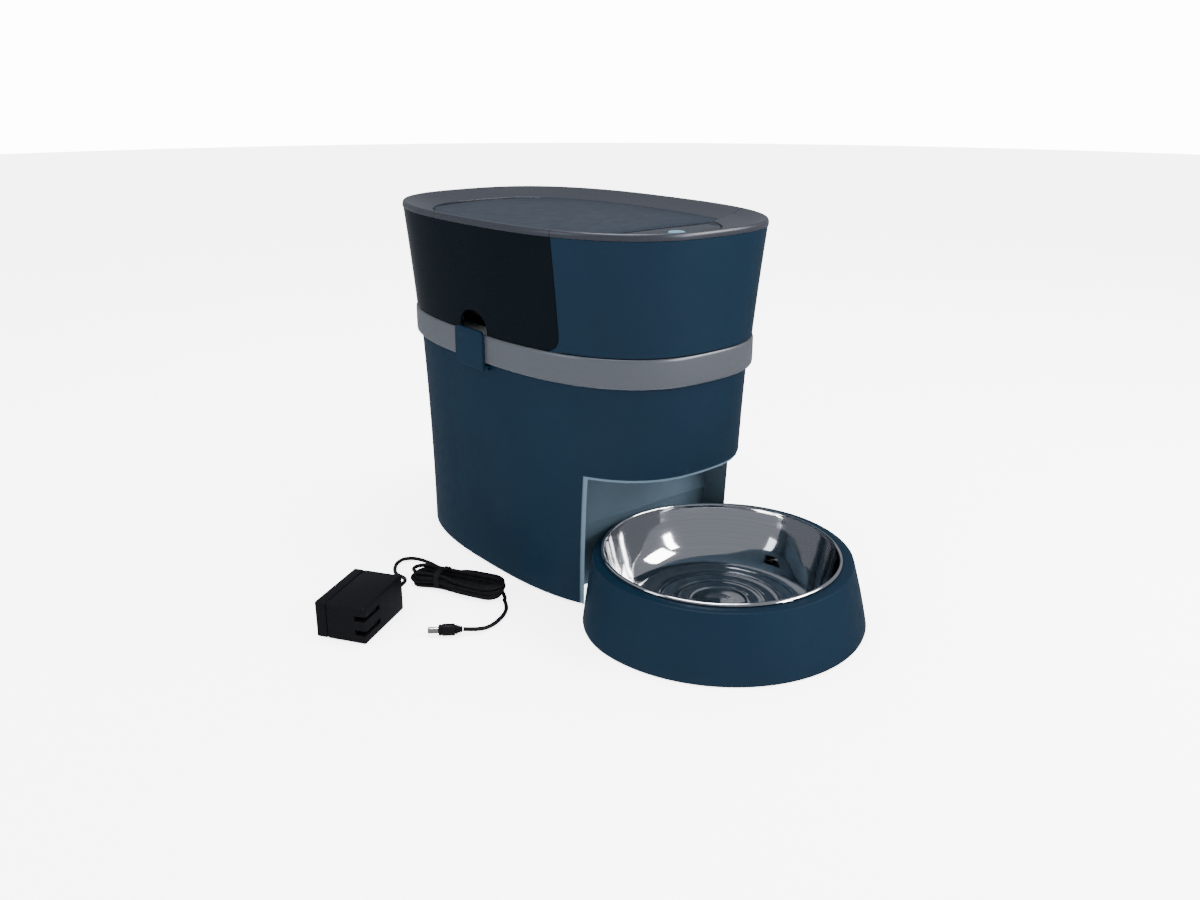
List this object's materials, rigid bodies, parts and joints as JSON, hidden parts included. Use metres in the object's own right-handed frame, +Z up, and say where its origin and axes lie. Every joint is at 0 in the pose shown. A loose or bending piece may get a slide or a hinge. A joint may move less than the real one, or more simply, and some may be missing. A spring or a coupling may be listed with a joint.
{
  "type": "automatic pet feeder",
  "caption": "Automatic pet feeder: smoky hopper with a lid on a conveyor base, steel bowl on a pull-out holder, side latches, and a wall adapter with its bundled cord.",
  "frame": {"origin": "on the floor, midway between the front of the bowl holder and the back of the hopper's rim, on the plane of symmetry of the feeder", "axes": "+Z up, -Y to the front where the bowl is, +X to the feeder's left as it faces its user's right hand"},
  "size_m": [0.4115, 0.5084, 0.325],
  "materials": {
    "navy_abs": "moulded deep blue ABS, satin",
    "smoky_clear": "smoky translucent moulding, gloss",
    "silver_paint": "silver painted moulding",
    "lid_grey": "blue grey moulding, satin gloss",
    "black_gloss": "polished black window",
    "button_grey": "pale blue moulded key",
    "green_board": "green circuit board",
    "amber_lens": "amber light pipe",
    "white_acetal": "natural acetal",
    "grey_abs": "moulded grey ABS",
    "belt_rubber": "black belt rubber",
    "rubber": "black rubber",
    "stainless": "mirror polished stainless steel",
    "zinc_steel": "zinc plated steel",
    "nickel": "nickel plated brass",
    "cell_wrap": "plain dark gold cell wrap",
    "black_abs": "moulded black plastic",
    "cord_pvc": "black PVC cord jacket"
  },
  "bodies": {
    "base": {"base_housing": "navy_abs", "silver_band": "silver_paint", "base_deck": "grey_abs", "base_floor": "grey_abs", "chute_liner": "navy_abs", "tower_cover": "navy_abs", "tower_trim": "silver_paint", "control_lens": "black_gloss", "control_board": "green_board", "button_switch": "black_abs", "status_light_left": "amber_lens", "status_light_right": "amber_lens", "conveyor_frame": "white_acetal", "conveyor_belt": "belt_rubber", "gearbox": "grey_abs", "gear_motor": "zinc_steel", "battery_box": "black_abs", "battery_1": "cell_wrap", "battery_2": "cell_wrap", "battery_3": "cell_wrap", "battery_4": "cell_wrap", "contact_plate_front": "nickel", "contact_plate_rear": "nickel", "dc_jack": "black_abs", "main_board": "green_board", "foot_front_left": "rubber", "foot_front_right": "rubber", "foot_rear_left": "rubber", "foot_rear_right": "rubber", "latch_pin_left": "zinc_steel", "latch_pin_right": "zinc_steel", "adapter_body": "black_abs", "adapter_cover": "black_abs", "strain_relief": "black_abs", "cord_lead": "cord_pvc", "cord_hank": "cord_pvc", "cord_tie": "black_abs", "cord_tail": "cord_pvc", "connector_body": "black_abs", "connector_barrel": "nickel"},
    "hopper": {"hopper": "smoky_clear", "hopper_rim": "silver_paint"},
    "lid": {"lid": "lid_grey", "lid_seal": "rubber"},
    "lid_latch": {"lid_latch": "black_abs"},
    "feed_button": {"feed_button": "button_grey"},
    "latch_left": {"latch_left": "navy_abs"},
    "latch_right": {"latch_right": "navy_abs"},
    "drive_roller": {"drive_roller": "white_acetal", "drive_gear": "white_acetal"},
    "idler_roller": {"idler_roller": "white_acetal"},
    "motor_pinion": {"motor_pinion": "nickel", "motor_shaft": "zinc_steel"},
    "battery_door": {"battery_door": "navy_abs"},
    "bowl_holder": {"bowl_holder": "navy_abs"},
    "steel_bowl": {"steel_bowl": "stainless"},
    "prongs": {"prong_carrier": "black_abs", "prong_lower": "nickel", "prong_upper": "nickel"}
  },
  "joints": [
    {"name": "hopper_lift", "type": "slide", "parent": "base", "child": "hopper", "axis": [0, 0, 1], "range_m": [0, 0.18]},
    {"name": "lid_hinge", "type": "hinge", "parent": "hopper", "child": "lid", "pos_m": [0, -0.03855, 0.3165], "axis": [1, 0, 0], "range_deg": [0, 75]},
    {"name": "lid_latch_slide", "type": "slide", "parent": "lid", "child": "lid_latch", "axis": [0, -1, 0], "range_m": [0, 0.003], "stiffness_N_per_m": 400, "springref_m": -0.001},
    {"name": "feed_button_press", "type": "slide", "parent": "base", "child": "feed_button", "axis": [0, 0, -1], "range_m": [0, 0.0012], "stiffness_N_per_m": 900, "springref_m": -0.0003},
    {"name": "latch_left_pivot", "type": "hinge", "parent": "base", "child": "latch_left", "pos_m": [-0.1111, 0.06955, 0.1975], "axis": [0, -1, 0], "range_deg": [0, 14], "stiffness_Nm_per_rad": 0.3, "springref_deg": -5.73},
    {"name": "latch_right_pivot", "type": "hinge", "parent": "base", "child": "latch_right", "pos_m": [0.1111, 0.06955, 0.1975], "axis": [0, 1, 0], "range_deg": [0, 14], "stiffness_Nm_per_rad": 0.3, "springref_deg": -5.73},
    {"name": "drive_roller_spin", "type": "hinge", "parent": "base", "child": "drive_roller", "pos_m": [0, 0.07255, 0.15], "axis": [1, 0, 0], "continuous": true},
    {"name": "idler_roller_spin", "type": "hinge", "parent": "base", "child": "idler_roller", "pos_m": [0, -0.03145, 0.15], "axis": [1, 0, 0], "continuous": true},
    {"name": "motor_pinion_spin", "type": "hinge", "parent": "base", "child": "motor_pinion", "pos_m": [0.0368, 0.08835, 0.13528], "axis": [1, 0, 0], "continuous": true},
    {"name": "battery_door_hinge", "type": "hinge", "parent": "base", "child": "battery_door", "pos_m": [0, 0.11435, 0.0059], "axis": [-1, 0, 0], "range_deg": [0, 60]},
    {"name": "holder_pull", "type": "slide", "parent": "base", "child": "bowl_holder", "axis": [0, -1, 0], "range_m": [0, 0.12]},
    {"name": "bowl_lift", "type": "slide", "parent": "bowl_holder", "child": "steel_bowl", "axis": [0, 0, 1], "range_m": [0, 0.05]},
    {"name": "prong_fold", "type": "hinge", "parent": "base", "child": "prongs", "pos_m": [-0.24921, 0.02336, 0.016], "axis": [0, 0, 1], "range_deg": [0, 90]}
  ],
  "couplings": [
    {"joint": "idler_roller_spin", "follows": "drive_roller_spin", "ratio": 1},
    {"joint": "motor_pinion_spin", "follows": "drive_roller_spin", "ratio": -2}
  ]
}
